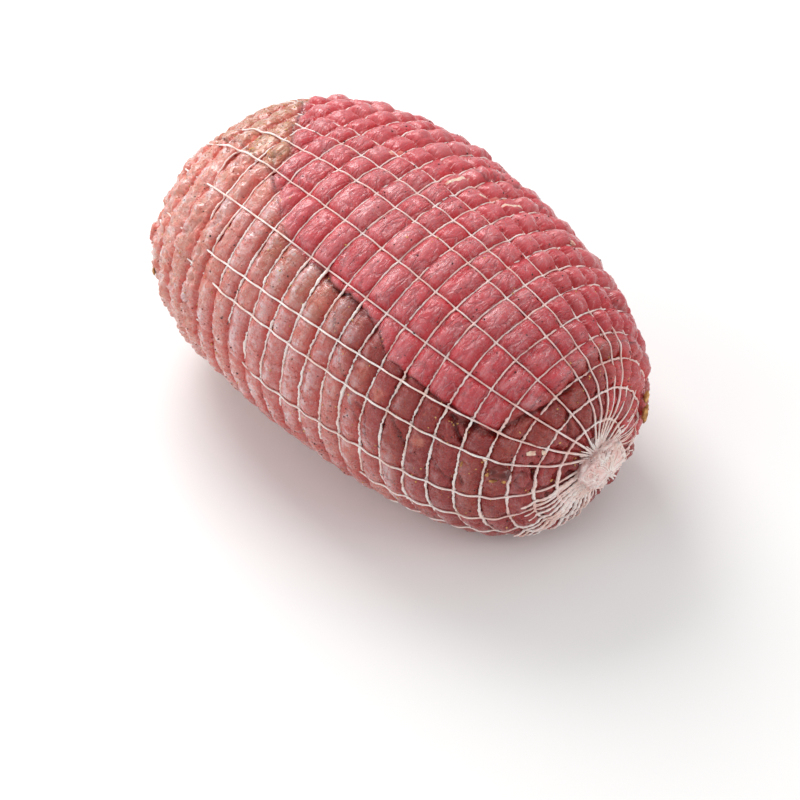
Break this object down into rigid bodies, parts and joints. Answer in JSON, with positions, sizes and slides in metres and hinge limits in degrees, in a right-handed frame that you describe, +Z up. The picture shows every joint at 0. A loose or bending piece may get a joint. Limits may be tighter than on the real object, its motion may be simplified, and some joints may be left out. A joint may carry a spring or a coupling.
{
  "type": "rolled meat roast",
  "caption": "Raw rolled roast of mixed meats, a plump egg-like roll held by a tight elastic net that is gathered into a tuft at each end, lying on a flattened underside.",
  "frame": {"origin": "the middle of the underside, on the surface that the roast lies on", "axes": "+X along the roll to its front end, +Z up, -Y to the side that the picture shows"},
  "size_m": [0.242, 0.1482, 0.1217],
  "materials": {
    "meat_pale": "moist pale pink raw meat",
    "meat_seasoned": "moist beige raw meat under a rub of crumbs",
    "meat_red": "moist bright red raw meat",
    "meat_brown": "moist brown-red raw meat",
    "net": "matt cream elastic cord"
  },
  "bodies": {
    "root": {"meat_pale": "meat_pale", "meat_seasoned": "meat_seasoned", "meat_red": "meat_red", "meat_brown": "meat_brown", "net": "net"}
  },
  "joints": []
}
